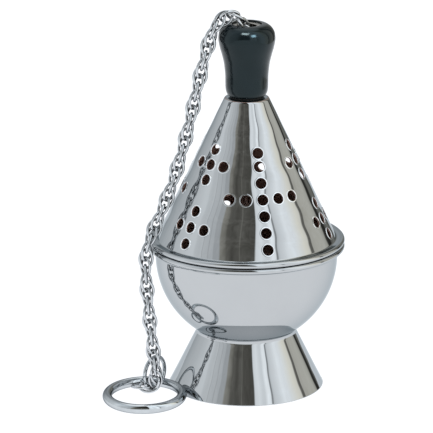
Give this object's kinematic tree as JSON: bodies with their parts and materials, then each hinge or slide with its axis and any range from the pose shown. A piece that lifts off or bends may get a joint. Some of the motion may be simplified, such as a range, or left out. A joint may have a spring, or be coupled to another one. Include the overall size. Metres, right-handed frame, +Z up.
{
  "type": "thurible censer",
  "caption": "Single-chain censer: round footed bowl, cone cover pierced with crosses, black knob the rope chain runs through, and a hand ring.",
  "frame": {"origin": "centre of the foot's resting edge, on the floor", "axes": "+Z up through bowl, cover and knob; the chain falls on the -X side and the ring lies towards -Y"},
  "size_m": [0.1308, 0.1098, 0.2105],
  "materials": {
    "polished_metal": "mirror polished nickel",
    "ring_metal": "polished nickel, round wire",
    "chain_metal": "polished nickel links",
    "fitting_steel": "machined steel",
    "pan_steel": "heat-darkened sheet steel",
    "black_knob": "gloss black turned resin",
    "black_fibre": "matt fibre washer"
  },
  "bodies": {
    "base": {"foot": "polished_metal", "bowl": "polished_metal", "foot_bolt": "fitting_steel", "foot_washer": "fitting_steel", "foot_nut": "fitting_steel", "bridge": "fitting_steel", "eye_bolt": "fitting_steel", "eye_nut": "fitting_steel", "small_ring": "chain_metal", "inner_chain": "chain_metal"},
    "pan": {"charcoal_pan": "pan_steel", "pan_legs": "pan_steel", "pan_rivets": "pan_steel"},
    "lid": {"cover": "polished_metal", "cover_collar": "polished_metal", "knob": "black_knob", "knob_tube": "fitting_steel", "knob_washer": "black_fibre", "knob_nut": "fitting_steel", "outer_chain": "chain_metal"},
    "swivel": {"jump_ring": "ring_metal"},
    "pull_ring": {"hand_ring": "ring_metal"}
  },
  "joints": [
    {"name": "lid_lift", "type": "slide", "parent": "base", "child": "lid", "axis": [0, 0, 1], "range_m": [0, 0.035]},
    {"name": "pan_lift", "type": "slide", "parent": "base", "child": "pan", "axis": [0, 0, 1], "range_m": [0, 0.012]},
    {"name": "jump_ring_swivel", "type": "hinge", "parent": "lid", "child": "swivel", "pos_m": [-0.0498, -0.0145, 0.00995], "axis": [0, 0, 1], "range_deg": [-12, 0]},
    {"name": "hand_ring_swing", "type": "hinge", "parent": "swivel", "child": "pull_ring", "pos_m": [-0.0498, -0.01449, 0.00495], "axis": [-0.9671, 0.2542, 0], "range_deg": [0, 35]}
  ]
}
